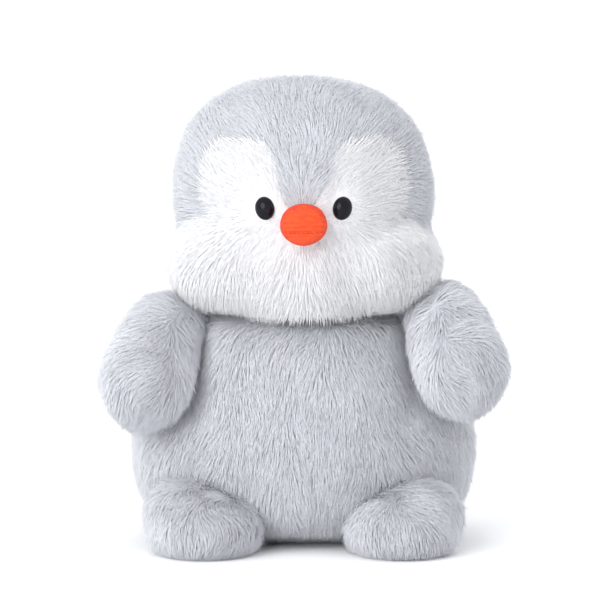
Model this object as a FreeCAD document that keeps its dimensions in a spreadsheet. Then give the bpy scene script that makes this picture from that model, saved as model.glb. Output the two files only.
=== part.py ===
"""A sitting plush penguin, 240 mm high, as an assembly of sewn panels, fillings and hard trim.

Frame: millimetres, +Z up. The origin is on the floor under the middle of the toy. The toy faces -Y, so its
own left side is at +X. Each panel has the thickness of its backing cloth with the dense root of the pile. The
forms are ellipsoids, cut along the seams that a pattern maker would use. A limb that is sewn on but bends at
its seam keeps a small gap from the body, so that it can turn.
"""

import FreeCAD, Part  # FreeCAD comes first: Part needs it to be loaded
import Sketcher
import os
import re

V = FreeCAD.Vector
doc = FreeCAD.newDocument("plush_penguin")
sheet = doc.addObject("Spreadsheet::Sheet", "Sizes")

# ---------------------------------------------------------------- driving dimensions

SIZES = {
    # head: a broad dome, with full cheeks and a chin that bulge from it
    "head_y": -3, "head_z": 180, "head_rx": 68, "head_ry": 60, "head_rz": 60,
    "cheek_y": -13, "cheek_z": 147, "cheek_rx": 72, "cheek_ry": 51, "cheek_rz": 36,
    # face: white oval eye patches above a white muzzle that slopes down to the cheeks' sides
    "patch_x": 31.5, "patch_z": 188, "patch_rx": 20, "patch_rz": 24.5,
    "muzzle_top_z": 168, "muzzle_side_z": 152, "muzzle_top_x": 48, "muzzle_side_x": 80,
    # eyes: oval safety eyes on a ribbed post, locked inside by a washer
    "eye_x": 19.5, "eye_y": -60.8, "eye_z": 176, "eye_turn": 15, "eye_roll": 12,
    "eye_rx": 5, "eye_ry": 4.2, "eye_rz": 6,
    "post_r": 1.9, "post_len": 14, "post_room": 2, "rib_r": 2.4, "rib_thick": 0.8, "rib_pitch": 2.4,
    "washer_r": 7, "washer_thick": 1.5, "washer_depth": 6.5, "washer_room": 0.5,
    # beak: a small stuffed oval with a mouth seam
    "beak_y": -65, "beak_z": 168.6, "beak_rx": 12, "beak_ry": 14, "beak_rz": 10.6,
    "mouth_z": 165, "beak_wall": 1.2,
    # side seams of the head and the body, just behind their widest sections
    "head_seam_y": 0, "body_seam_y": 9,
    # neck: the head turns and nods on the ring of stitches around the neck opening
    "neck_y": -3, "neck_z": 116.5, "neck_hole_r": 23, "neck_hole_depth": 15, "neck_slope": 0.11,
    "neck_gap": 0.5, "seam_r": 26, "thread_r": 0.7, "thread_room": 0.35,
    # body: an egg with a flat base, weighted with a pouch of pellets
    "body_y": 6, "body_z": 50, "body_rx": 86, "body_ry": 72, "body_rz": 91, "base_thick": 4,
    "pouch_z": 22, "pouch_rx": 42, "pouch_ry": 36, "pouch_rz": 13, "pouch_wall": 1,
    # wings: plump flippers that hang from the shoulders, their tips turned forward
    "wing_x": 77.5, "wing_y": -41, "wing_z": 96.5, "wing_rx": 25.5, "wing_ry": 25, "wing_rz": 36,
    "wing_tilt": 30, "wing_seam_x": 79,
    # feet: wide soft pads with a flat sole
    "foot_x": 50.5, "foot_y": -55, "foot_z": 12, "foot_rx": 29.5, "foot_ry": 37, "foot_rz": 24,
    "sole_thick": 3,
    # tail: a short stub at the back
    "tail_y": 76, "tail_z": 26, "tail_rx": 15, "tail_ry": 16, "tail_rz": 9,
    # cloth, clearances, and a length that is larger than the toy
    "wall": 4, "limb_wall": 3, "tail_wall": 2.5,
    "fill_gap": 0.4, "slip_gap": 0.2, "limb_gap": 1.2, "reach": 300,
}

for row, (alias, value) in enumerate(SIZES.items(), start=1):
    sheet.set(f"A{row}", alias)
    sheet.set(f"B{row}", str(value))
    sheet.setAlias(f"B{row}", alias)
doc.recompute()

SIDES = {"left": 1, "right": -1}  # the toy's own left is at +X
POST_RIBS = 2
POLES_ASIDE = FreeCAD.Rotation(V(0, 1, 0), 90)


def in_sheet(text):
    """The same expression, with each word of the sheet looked up in the sheet."""
    return re.sub(r"[a-z][a-z_]*", lambda m: f"Sizes.{m[0]}" if m[0] in SIZES else m[0], str(text))


def bind(thing, **expressions):
    """Binds properties of a document object to expressions in the sheet's words."""
    for name, text in expressions.items():
        thing.setExpression(name, in_sheet(text))


def place(thing, x="0", y="0", z="0"):
    for axis, text in zip("xyz", (x, y, z)):
        thing.setExpression(f"Placement.Base.{axis}", in_sheet(text))
    return thing


# ---------------------------------------------------------------- shapes and joins


def ellipsoid(name, centre, radii, less="0", tilt=0):
    """An ellipsoid whose three radii are all less by the same amount. Its poles are at its -X and +X ends."""
    thing = doc.addObject("Part::Ellipsoid", name)
    x, y, z = (f"{radius} - ({less})" for radius in radii)
    bind(thing, Radius1=x, Radius2=z, Radius3=y)
    thing.Placement.Rotation = FreeCAD.Rotation(V(1, 0, 0), tilt).multiply(POLES_ASIDE)
    return place(thing, *centre)


def cylinder(name, base, radius, height):
    thing = doc.addObject("Part::Cylinder", name)
    bind(thing, Radius=radius, Height=height)
    return place(thing, *base)


def common(name, *shapes):
    thing = doc.addObject("Part::MultiCommon", name)
    thing.Shapes = list(shapes)
    return thing


def fuse(name, *shapes):
    thing = doc.addObject("Part::MultiFuse", name)
    thing.Shapes = list(shapes)
    return thing


def cut(name, base, *tools):
    """The base with each tool taken from it in turn."""
    for number, tool in enumerate(tools, start=1):
        thing = doc.addObject("Part::Cut", name if number == len(tools) else f"{name}_{number}")
        thing.Base = base
        thing.Tool = tool
        base = thing
    return base


def half(name, axis, side, at="0"):
    """A large block that holds everything on one side of a plane across the axis."""
    thing = doc.addObject("Part::Box", name)
    bind(thing, Length="2 * reach", Width="2 * reach", Height="2 * reach")
    low = dict.fromkeys("xyz", "-reach")
    low[axis] = at if side > 0 else f"{at} - 2 * reach"
    return place(thing, *low.values())


PIECES = []


def piece(label, thing):
    """Names a finished sub-part."""
    thing.Label = label
    PIECES.append(thing)


above_floor = half("above_floor", "z", 1)
toward = {"left": half("left_side", "x", 1), "right": half("right_side", "x", -1)}

# ---------------------------------------------------------------- outlines that several parts share


def cheeks_form(name, less):
    return ellipsoid(name, ("0", "cheek_y", "cheek_z"), ("cheek_rx", "cheek_ry", "cheek_rz"), less)


def head_form(name, less):
    """The dome and the wide bulge of the cheeks and chin as one form."""
    dome = ellipsoid(name + "_dome", ("0", "head_y", "head_z"), ("head_rx", "head_ry", "head_rz"), less)
    return fuse(name, dome, cheeks_form(name + "_cheeks", less))


def body_egg(name, less):
    return ellipsoid(name, ("0", "body_y", "body_z"), ("body_rx", "body_ry", "body_rz"), less)


def under_neck(name, drop):
    """Everything below the body's top, a shallow cone that leaves the head room to nod."""
    thing = doc.addObject("Part::Cone", name)
    apex = f"(neck_z - neck_gap - ({drop}))"
    bind(thing, Height=apex, Radius1=f"{apex} / neck_slope", Radius2="0")
    return place(thing, "0", "neck_y", "0")


def neck_tube(name, less):
    base = ("0", "neck_y", "neck_z - neck_hole_depth")
    return cylinder(name, base, f"neck_hole_r - ({less})", "2 * neck_hole_depth")


def thread_ring(name, more):
    """The stitches around the neck opening, half sunk in the body's top."""
    thing = doc.addObject("Part::Torus", name)
    bind(thing, Radius1="seam_r", Radius2=f"thread_r + ({more})")
    return place(thing, "0", "neck_y", "neck_z - neck_gap - neck_slope * seam_r")


def at_eye(thing, side, depth="0"):
    """Stands a drawing on the face at the eye, its +Z along the post, or that much deeper."""
    turn = FreeCAD.Rotation(V(0, 0, 1), SIDES[side] * SIZES["eye_turn"])
    roll = FreeCAD.Rotation(V(0, 0, 1), SIDES[side] * SIZES["eye_roll"])
    thing.Placement.Rotation = turn.multiply(FreeCAD.Rotation(V(1, 0, 0), -90)).multiply(roll)
    aside, inward = f"sin(eye_turn) * ({depth})", f"cos(eye_turn) * ({depth})"
    return place(thing, f"{SIDES[side]} * (eye_x - {aside})", f"eye_y + {inward}", "eye_z")


# ---------------------------------------------------------------- eyes and beak


def make_eye(side):
    """An oval dome, its lower end rolled towards the beak, with a ribbed post behind it."""
    dome = doc.addObject("Part::Ellipsoid", f"eye_{side}_dome")
    bind(dome, Radius1="eye_ry", Radius2="eye_rx", Radius3="eye_rz")
    front = common(f"eye_{side}_front", dome, half(f"eye_{side}_plane", "z", -1))
    post = cylinder(f"eye_{side}_post", ("0", "0", "0"), "post_r", "post_len")
    ribs = []
    for n in range(POST_RIBS):
        base = ("0", "0", f"post_len - rib_thick - {n} * rib_pitch")
        ribs.append(cylinder(f"eye_{side}_rib_{n}", base, "rib_r", "rib_thick"))
    piece(f"eye_{side}", at_eye(fuse(f"eye_{side}_form", front, post, *ribs), side))


def make_washer(side):
    """The round washer that locks the post from inside the head."""
    body = doc.addObject("PartDesign::Body", f"washer_{side}")
    sketch = body.newObject("Sketcher::SketchObject", f"washer_{side}_rings")
    plane = next(p for p in body.Origin.OriginFeatures if p.Role == "XY_Plane")
    sketch.AttachmentSupport = [(plane, "")]
    sketch.MapMode = "FlatFace"
    for word in ("washer_r", "post_r"):
        ring = sketch.addGeometry(Part.Circle(V(0, 0, 0), V(0, 0, 1), SIZES[word]))
        sketch.addConstraint(Sketcher.Constraint("Coincident", ring, 3, -1, 1))
        radius = sketch.addConstraint(Sketcher.Constraint("Radius", ring, SIZES[word]))
        sketch.setExpression(f"Constraints[{radius}]", in_sheet(word))
    pad = body.newObject("PartDesign::Pad", f"washer_{side}_pad")
    pad.Profile = sketch
    bind(pad, Length="washer_thick")
    piece(f"eye_washer_{side}", at_eye(body, side, "washer_depth"))


def make_beak():
    """Two cloth shells that meet at the mouth, with a filling, sitting on the face."""
    centre, radii = ("0", "beak_y", "beak_z"), ("beak_rx", "beak_ry", "beak_rz")
    outer = ellipsoid("beak_outer", centre, radii)
    inner = ellipsoid("beak_inner", centre, radii, "beak_wall")
    face = head_form("beak_seat", "0")
    shell = cut("beak_shell", outer, inner, face)
    for label, side in (("beak_upper", 1), ("beak_lower", -1)):
        piece(label, common(label + "_cloth", shell, half(label + "_half", "z", side, "mouth_z")))
    fill = ellipsoid("beak_fill", centre, radii, "beak_wall + slip_gap")
    before_face = half("before_face", "y", -1, "head_y - head_ry - slip_gap")
    piece("beak_stuffing", common("beak_stuffing_form", fill, before_face))


# ---------------------------------------------------------------- head


def patch_zone(side):
    """An oval bar through the face, where the white eye patch is."""
    edge = doc.addObject("Part::Ellipse", f"patch_{side}_edge")
    bind(edge, MajorRadius="patch_rz", MinorRadius="patch_rx")
    upright = FreeCAD.Rotation(V(0, 1, 0), -90)
    edge.Placement.Rotation = upright.multiply(FreeCAD.Rotation(V(1, 0, 0), -90))
    place(edge, f"{SIDES[side]} * patch_x", "head_seam_y - reach", "patch_z")
    bar = doc.addObject("Part::Extrusion", f"patch_{side}_zone")
    bar.Base = edge
    bar.DirMode = "Custom"
    bar.Dir = V(0, 1, 0)
    bar.Solid = True
    bind(bar, LengthFwd="reach")
    return bar


def muzzle_zone(front):
    """The front of the face below the eye patches, lower at the cheeks' sides."""
    slope = doc.addObject("Part::Wedge", "muzzle_slope")
    bind(slope, Ymin="muzzle_side_z", Ymax="muzzle_top_z", Zmin="0", Z2min="0", Zmax="reach", Z2max="reach")
    bind(slope, Xmin="-muzzle_side_x", Xmax="muzzle_side_x", X2min="-muzzle_top_x", X2max="muzzle_top_x")
    slope.Placement.Rotation = FreeCAD.Rotation(V(1, 0, 0), 90)
    place(slope, "0", "head_seam_y", "0")
    below = common("muzzle_low", half("muzzle_below", "z", -1, "muzzle_side_z"), front)
    return fuse("muzzle_zone", slope, below)


def make_head():
    """Grey crown and back panels, white eye patches and muzzle, and the filling."""
    above_neck = half("above_neck", "z", 1, "neck_z")
    front = half("face_side", "y", -1, "head_seam_y")
    back = half("nape_side", "y", 1, "head_seam_y")
    posts = {}
    fittings = []
    for side in SIDES:
        post = cylinder(f"post_hole_{side}", ("0", "0", "0"), "post_r", "post_len + post_room")
        posts[side] = at_eye(post, side)
        room = cylinder(f"fitting_{side}", ("0", "0", "0"), "washer_r + washer_room", "post_len + post_room")
        fittings.append(at_eye(room, side))
    outside = common("head_outside", head_form("head_outer", "0"), above_neck)
    core = head_form("head_inner", "wall")
    hole = neck_tube("head_neck_hole", "0")
    muzzle = muzzle_zone(front)
    patches = {side: patch_zone(side) for side in SIDES}
    for side in SIDES:
        face_side = common(f"face_{side}", outside, toward[side], front)
        upper = cut(f"upper_face_{side}", face_side, muzzle)
        crown = cut(f"crown_{side}_block", upper, patches[side])
        patch = common(f"eye_patch_{side}_block", upper, patches[side])
        lower = common(f"muzzle_{side}_block", face_side, muzzle)
        nape = common(f"head_back_{side}_block", outside, toward[side], back)
        piece(f"crown_{side}", cut(f"crown_{side}_cloth", crown, core))
        piece(f"eye_patch_{side}", cut(f"eye_patch_{side}_cloth", patch, core, posts[side]))
        piece(f"muzzle_{side}", cut(f"muzzle_{side}_cloth", lower, core, hole))
        piece(f"head_back_{side}", cut(f"head_back_{side}_cloth", nape, core, hole))
    plug = common("neck_plug", neck_tube("neck_fill", "fill_gap"), head_form("neck_core", "slip_gap"))
    filling = fuse("head_filling", head_form("head_core", "wall + fill_gap"), plug)
    below_neck = half("below_neck", "z", -1, "neck_z")
    piece("head_stuffing", cut("head_stuffing_form", filling, below_neck, *fittings))


# ---------------------------------------------------------------- body


def make_body():
    """Front and back panels with a seam down each middle, the base, the filling and the pellets."""
    above_base = half("above_base", "z", 1, "base_thick")
    outside = common("body_outside", body_egg("body_outer", "0"), under_neck("body_top", "0"), above_floor)
    inside = common("body_inside", body_egg("body_inner", "wall"), under_neck("body_lid", "wall"))
    hole = neck_tube("body_neck_hole", "0")
    shell = cut("body_shell", outside, inside, hole, thread_ring("ring_room", "thread_room"))
    tube = common("body_tube", shell, above_base)
    for face, sense in (("front", -1), ("back", 1)):
        face_half = half(f"body_{face}_half", "y", sense, "body_seam_y")
        for side in SIDES:
            piece(f"body_{face}_{side}", common(f"body_{face}_{side}_cloth", tube, face_half, toward[side]))
    piece("body_base", cut("body_base_cloth", outside, half("over_base", "z", 1, "base_thick")))
    clear_of_base = half("clear_of_base", "z", 1, "base_thick + fill_gap")
    lid = under_neck("core_lid", "wall + fill_gap")
    core = common("body_core", body_egg("body_core_egg", "wall + fill_gap"), lid)
    plug = common("body_plug", neck_tube("body_neck_fill", "fill_gap"), under_neck("plug_top", "slip_gap"))
    filling = common("body_filling", fuse("body_core_plug", core, plug), clear_of_base)
    pouch_centre, pouch_radii = ("0", "body_y", "pouch_z"), ("pouch_rx", "pouch_ry", "pouch_rz")
    pouch_room = ellipsoid("pouch_room", pouch_centre, pouch_radii, "-fill_gap")
    piece("body_stuffing", cut("body_stuffing_form", filling, pouch_room))
    pouch = ellipsoid("pouch_outer", pouch_centre, pouch_radii)
    hollow = ellipsoid("pouch_inner", pouch_centre, pouch_radii, "pouch_wall")
    piece("pellet_pouch", cut("pouch_cloth", pouch, hollow))
    piece("pellets", ellipsoid("pellet_fill", pouch_centre, pouch_radii, "pouch_wall + slip_gap"))


# ---------------------------------------------------------------- limbs


def make_wing(side):
    """An outer and an inner panel around a filling, clear of the body at the shoulder."""
    sign = SIDES[side]
    name = f"wing_{side}"

    def form(suffix, less):
        centre = (f"{sign} * wing_x", "wing_y", "wing_z")
        return ellipsoid(name + suffix, centre, ("wing_rx", "wing_ry", "wing_rz"), less, -SIZES["wing_tilt"])

    off_body = body_egg(name + "_off_body", "-limb_gap")
    whole, lining = form("_whole", "0"), form("_lining", "limb_wall")
    for face, sense in (("outer", sign), ("inner", -sign)):
        zone = half(f"{name}_{face}_half", "x", sense, f"{sign} * wing_seam_x")
        part = common(f"{name}_{face}_part", whole, zone)
        piece(f"{name}_{face}", cut(f"{name}_{face}_cloth", part, lining, off_body))
    filling = form("_filling", "limb_wall + fill_gap")
    piece(f"{name}_stuffing", cut(name + "_stuffing_form", filling, off_body))


def make_foot(side):
    """A rounded upper on a flat sole, with a filling, against the lower front of the body."""
    name = f"foot_{side}"
    centre, radii = (f"{SIDES[side]} * foot_x", "foot_y", "foot_z"), ("foot_rx", "foot_ry", "foot_rz")
    off_body = body_egg(name + "_off_body", "-limb_gap")
    outside = common(name + "_outside", ellipsoid(name + "_outer", centre, radii), above_floor)
    over_sole = half(name + "_over_sole", "z", 1, "sole_thick")
    hollow = ellipsoid(name + "_inner", centre, radii, "limb_wall")
    shell = cut(name + "_shell", outside, off_body, hollow)
    piece(f"{name}_upper", common(name + "_upper_cloth", shell, over_sole))
    piece(f"{name}_sole", cut(name + "_sole_cloth", outside, off_body, over_sole))
    filling = ellipsoid(name + "_filling", centre, radii, "limb_wall + fill_gap")
    over_lining = half(name + "_over_lining", "z", 1, "sole_thick + fill_gap")
    fill = common(name + "_fill", filling, over_lining)
    piece(f"{name}_stuffing", cut(name + "_stuffing_form", fill, off_body))


def make_tail():
    """An upper and a lower panel around a little filling."""
    centre, radii = ("0", "tail_y", "tail_z"), ("tail_rx", "tail_ry", "tail_rz")
    off_body = body_egg("tail_off_body", "-limb_gap")
    outer = ellipsoid("tail_outer", centre, radii)
    lining = ellipsoid("tail_inner", centre, radii, "tail_wall")
    shell = cut("tail_shell", outer, off_body, lining)
    for label, side in (("tail_upper", 1), ("tail_lower", -1)):
        piece(label, common(label + "_cloth", shell, half(label + "_half", "z", side, "tail_z")))
    filling = ellipsoid("tail_fill", centre, radii, "tail_wall + fill_gap")
    behind_body = half("behind_body", "y", 1, "body_y + body_ry + limb_gap")
    piece("tail_stuffing", common("tail_stuffing_form", filling, behind_body))


# ---------------------------------------------------------------- assembly

make_head()
make_beak()
for eye_side in SIDES:
    make_eye(eye_side)
    make_washer(eye_side)
piece("neck_seam", thread_ring("neck_thread", "0"))
make_body()
for limb_side in SIDES:
    make_wing(limb_side)
    make_foot(limb_side)
make_tail()
doc.recompute()

failed = [thing.Label for thing in doc.Objects if {"Invalid", "Error"} & set(thing.State)]
failed += [thing.Label for thing in PIECES if thing.Shape.isNull() or not thing.Shape.isValid()]
if failed:
    raise SystemExit(f"failed: {failed}")

os.makedirs("parts", exist_ok=True)
for thing in PIECES:
    thing.Shape.exportStep(f"parts/{thing.Label}.step")
print(f"{len(PIECES)} sub-parts written")
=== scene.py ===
"""A sitting plush penguin of long-pile fur.

Its sewn panels are stuffed by a cloth simulation, and the pile is grown on them strand by strand. It has a
ribbed cloth beak and moulded eyes, and filling and pellets inside.
"""

import math
import bmesh
import bpy
import numpy as np
from mathutils import Matrix, Vector


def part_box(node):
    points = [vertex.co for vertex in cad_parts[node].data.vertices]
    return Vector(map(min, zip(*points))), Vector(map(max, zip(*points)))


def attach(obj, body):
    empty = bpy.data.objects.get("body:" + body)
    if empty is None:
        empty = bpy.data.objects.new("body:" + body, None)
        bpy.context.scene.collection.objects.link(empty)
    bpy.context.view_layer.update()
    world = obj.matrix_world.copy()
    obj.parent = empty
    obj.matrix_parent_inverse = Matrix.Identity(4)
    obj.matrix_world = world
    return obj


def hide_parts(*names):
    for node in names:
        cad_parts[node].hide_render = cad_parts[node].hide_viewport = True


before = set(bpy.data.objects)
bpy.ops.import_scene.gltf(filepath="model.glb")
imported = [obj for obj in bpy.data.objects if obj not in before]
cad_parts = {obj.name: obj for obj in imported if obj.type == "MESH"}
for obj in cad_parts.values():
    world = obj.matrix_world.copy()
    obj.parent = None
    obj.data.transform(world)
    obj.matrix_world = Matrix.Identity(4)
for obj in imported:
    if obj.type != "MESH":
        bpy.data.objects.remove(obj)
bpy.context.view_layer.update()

MM = 0.001
SIDES = {"left": 1, "right": -1}  # the toy's own left is at +X
UP = np.array((0.0, 0.0, 1.0))

# ---------------------------------------------------------------- sizes

SKIN_THICK = 1.2 * MM
VOXEL = 4.5 * MM
SWELL_PRESSURE, SWELL_STEPS = 4, 20
SWELL_CAP = 3 * MM  # how far the stuffing may push a panel out between its seams
LIMB_CAP, TAIL_CAP = 2 * MM, 1 * MM  # the same for the smaller parts
SEAM_HALF = 2.6 * MM  # half the width of the strip that a seam holds down
FLOOR_GAP = 0.8 * MM

HEAD_SEAM_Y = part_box("head_back_left")[0].y
BODY_SEAM_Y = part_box("body_back_left")[0].y
BASE_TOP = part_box("body_base")[1].z
BODY_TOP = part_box("body_front_left")[1].z
SOLE_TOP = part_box("foot_left_sole")[1].z
WING_SEAM_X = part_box("wing_left_outer")[0].x
TAIL_SEAM_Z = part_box("tail_upper")[0].z
MOUTH_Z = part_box("beak_upper")[0].z

# ---------------------------------------------------------------- camera, light and floor

CAMERA_AIM = (-1.8 * MM, 0, 122.7 * MM)
CAMERA_DISTANCE = 3.0
CAMERA_RISE = math.radians(6.5)
CAMERA_FOCAL = 350
ROOM_COLOUR, ROOM_STRENGTH = (0.97, 0.98, 1, 1), 1.28
KEY_PLACE, KEY_AIM = (-1.2, -2.1, 1.0), (0, 0, 0.12)
KEY_SIZE, KEY_WATTS = 2.0, 44
FLOOR_HALF = 15


def make_camera():
    camera = bpy.data.objects.new("camera", bpy.data.cameras.new("camera"))
    bpy.context.collection.objects.link(camera)
    back = Vector((0, -math.cos(CAMERA_RISE), math.sin(CAMERA_RISE)))
    camera.location = Vector(CAMERA_AIM) + back * CAMERA_DISTANCE
    camera.rotation_euler = (-back).to_track_quat("-Z", "Y").to_euler()
    camera.data.sensor_width = 36
    camera.data.lens = CAMERA_FOCAL
    camera.data.clip_end = 100
    bpy.context.scene.camera = camera


def make_key_light():
    light = bpy.data.objects.new("key", bpy.data.lights.new("key", "AREA"))
    bpy.context.collection.objects.link(light)
    light.data.shape = "DISK"
    light.data.size = KEY_SIZE
    light.data.energy = KEY_WATTS
    light.location = KEY_PLACE
    light.rotation_euler = (Vector(KEY_AIM) - Vector(KEY_PLACE)).to_track_quat("-Z", "Y").to_euler()


def make_studio():
    """A white floor in a white room, with one large light in front, at the upper left."""
    world = bpy.data.worlds.new("room")
    bpy.context.scene.world = world
    world.use_nodes = True
    background = world.node_tree.nodes["Background"]
    background.inputs["Color"].default_value = ROOM_COLOUR
    background.inputs["Strength"].default_value = ROOM_STRENGTH
    make_key_light()
    bm = bmesh.new()
    bmesh.ops.create_grid(bm, x_segments=2, y_segments=2, size=FLOOR_HALF)
    floor = add_object("floor", from_bmesh("floor", bm))
    floor.data.materials.append(floor_material())
    scene = bpy.context.scene
    scene.view_settings.view_transform = "Standard"
    scene.view_settings.look = "None"
    scene.cycles.diffuse_bounces = 10


# ---------------------------------------------------------------- mesh helpers


def add_object(name, mesh):
    thing = bpy.data.objects.new(name, mesh)
    bpy.context.collection.objects.link(thing)
    return thing


def from_bmesh(name, bm):
    mesh = bpy.data.meshes.new(name)
    bm.to_mesh(mesh)
    bm.free()
    return mesh


def coords(mesh):
    found = np.empty(len(mesh.vertices) * 3)
    mesh.vertices.foreach_get("co", found)
    return found.reshape(-1, 3)


def set_coords(mesh, points):
    mesh.vertices.foreach_set("co", np.ascontiguousarray(points).ravel())
    mesh.update()


def normals_of(mesh):
    found = np.empty(len(mesh.vertices) * 3)
    mesh.vertices.foreach_get("normal", found)
    return found.reshape(-1, 3)


def smooth_faces(mesh):
    mesh.polygons.foreach_set("use_smooth", np.ones(len(mesh.polygons), dtype=bool))


def unit(vectors):
    return vectors / np.maximum(np.linalg.norm(vectors, axis=-1, keepdims=True), 1e-12)


def ease(values, start, reach):
    """0 up to start, 1 from start + reach on, and a straight line between."""
    return np.clip((values - start) / reach, 0, 1)


def shaped(thing):
    """Makes the object's mesh the one that its modifiers give."""
    evaluated = thing.evaluated_get(bpy.context.evaluated_depsgraph_get())
    mesh = bpy.data.meshes.new_from_object(evaluated)
    thing.modifiers.clear()
    old = thing.data
    thing.data = mesh
    bpy.data.meshes.remove(old)
    return thing


def ripple(points, wavelength, seed, waves=9):
    """A smooth random field over space, mostly between -1 and 1."""
    rng = np.random.default_rng(seed)
    directions = unit(rng.normal(size=(waves, 3))) * rng.uniform(0.7, 1.4, (waves, 1))
    phases = rng.uniform(0, 2 * np.pi, waves)
    summed = np.sin(points @ directions.T * (2 * np.pi / wavelength) + phases).sum(1)
    return summed / np.sqrt(waves / 2) * 0.8


def union_box(*nodes):
    boxes = [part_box(node) for node in nodes]
    low = np.min([tuple(low) for low, high in boxes], axis=0)
    high = np.max([tuple(high) for low, high in boxes], axis=0)
    return low, high


def blob(box, centre, radii):
    """An ellipsoid placed and sized by fractions of a box."""
    low, high = box
    return low + (high - low) * centre, (high - low) / 2 * radii


def mirrored(blobs, side):
    """Ellipsoids that are placed on the toy's left, for the side asked."""
    return [((centre[0] * SIDES[side], *centre[1:]), radii) for centre, radii in blobs]


def melded(name, blobs, voxel=VOXEL, smooth=6):
    """One skin around several ellipsoids that overlap."""
    bm = bmesh.new()
    for centre, radii in blobs:
        place = Matrix.LocRotScale(Vector(centre), None, Vector(radii))
        bmesh.ops.create_icosphere(bm, subdivisions=4, radius=1, matrix=place)
    thing = add_object(name, from_bmesh(name, bm))
    remesh = thing.modifiers.new("Remesh", "REMESH")
    remesh.mode = "VOXEL"
    remesh.voxel_size = voxel
    soften = thing.modifiers.new("Smooth", "SMOOTH")
    soften.iterations = smooth
    return shaped(thing)


def stuffed(thing, held, cap=SWELL_CAP):
    """Lets the skin swell under the filling's pressure, held down where held is true, then rounds it."""
    start = coords(thing.data)
    seams = thing.vertex_groups.new(name="seams")
    seams.add(np.flatnonzero(held).tolist(), 1, "REPLACE")
    cloth = thing.modifiers.new("Cloth", "CLOTH")
    cloth.settings.use_pressure = True
    cloth.settings.uniform_pressure_force = SWELL_PRESSURE
    cloth.settings.effector_weights.gravity = 0
    cloth.settings.vertex_group_mass = "seams"
    cloth.point_cache.frame_end = SWELL_STEPS
    for step in range(1, SWELL_STEPS + 1):
        bpy.context.scene.frame_set(step)
    moved = coords(thing.evaluated_get(bpy.context.evaluated_depsgraph_get()).data)
    thing.modifiers.clear()
    thing.vertex_groups.clear()
    shift = moved - start
    far = np.linalg.norm(shift, axis=1, keepdims=True)
    set_coords(thing.data, start + shift * np.minimum(1, cap / np.maximum(far, 1e-9)))
    soften = thing.modifiers.new("Smooth", "SMOOTH")
    soften.iterations = 2
    rounding = thing.modifiers.new("Subdivision", "SUBSURF")
    rounding.levels = 1
    return shaped(thing)


BEAK_BOX = union_box("beak_upper", "beak_lower")
BEAK_MID = (BEAK_BOX[0] + BEAK_BOX[1]) / 2
BEAK_RADII = (BEAK_BOX[1] - BEAK_BOX[0]) / 2

# ---------------------------------------------------------------- materials

SHADES = 4  # how many shades one coat of pile has


def new_material(name, colour, roughness, **sockets):
    """A material with one Principled shader; sockets are its other constant values."""
    material = bpy.data.materials.new(name)
    material.use_nodes = True
    shader = material.node_tree.nodes["Principled BSDF"]
    shader.inputs["Base Color"].default_value = (*colour, 1)
    shader.inputs["Roughness"].default_value = roughness
    for socket, value in sockets.items():
        shader.inputs[socket.replace("_", " ")].default_value = value
    return material, shader


def add_node(material, kind, **values):
    """A new node; values are its sockets' constants or, where it has no such socket, its own settings."""
    node = material.node_tree.nodes.new(kind)
    for key, value in values.items():
        if key in node.inputs:
            node.inputs[key].default_value = value
        else:
            setattr(node, key, value)
    return node


def wire(material, out, into):
    material.node_tree.links.new(out, into)


def position(material):
    return add_node(material, "ShaderNodeTexCoord").outputs["Object"]


def noise(material, scale, detail=4, rough=0.6, where=None):
    node = add_node(material, "ShaderNodeTexNoise", Scale=scale, Detail=detail, Roughness=rough)
    wire(material, where or position(material), node.inputs["Vector"])
    return node.outputs["Fac"]


def stretched(material, scale):
    """The position, scaled by its own factor along each axis."""
    node = add_node(material, "ShaderNodeMapping", Scale=scale)
    wire(material, position(material), node.inputs["Vector"])
    return node.outputs["Vector"]


def ramp(material, factor, stops):
    """A colour ramp; stops are (place, colour) pairs."""
    node = add_node(material, "ShaderNodeValToRGB")
    elements = node.color_ramp.elements
    while len(elements) < len(stops):
        elements.new(0.5)
    for element, (place, colour) in zip(elements, stops):
        element.position = place
        element.color = (*colour, 1)
    wire(material, factor, node.inputs["Fac"])
    return node.outputs["Color"]


def bump(material, shader, height, strength, distance):
    node = add_node(material, "ShaderNodeBump", Strength=strength, Distance=distance)
    wire(material, height, node.inputs["Height"])
    wire(material, node.outputs["Normal"], shader.inputs["Normal"])


def varied(material, shader, factor, dark, light, rough_range):
    """Colour and roughness that follow the same pattern."""
    wire(material, ramp(material, factor, [(0.3, dark), (0.7, light)]), shader.inputs["Base Color"])
    spread = add_node(material, "ShaderNodeMapRange")
    spread.inputs["To Min"].default_value = rough_range[0]
    spread.inputs["To Max"].default_value = rough_range[1]
    wire(material, factor, spread.inputs["Value"])
    wire(material, spread.outputs["Result"], shader.inputs["Roughness"])


def floor_material():
    material, shader = new_material("floor_paper", (0.93, 0.93, 0.935), 0.9)
    mottle = noise(material, 3)
    varied(material, shader, mottle, (0.93, 0.93, 0.935), (0.94, 0.94, 0.945), (0.85, 0.95))
    return material


def cloth_material(name, dark, light, weave=900):
    """Knitted backing cloth: fine loops in rows, with a soft uneven dye."""
    material, shader = new_material(name, light, 0.9, Sheen_Weight=0.25, Sheen_Roughness=0.5)
    rows = add_node(material, "ShaderNodeTexWave", Scale=weave, Distortion=1.5, Detail=2)
    rows.bands_direction = "Z"
    wire(material, position(material), rows.inputs["Vector"])
    varied(material, shader, noise(material, 120), dark, light, (0.8, 0.98))
    bump(material, shader, rows.outputs["Fac"], 0.5, 0.3 * MM)
    return material


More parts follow.
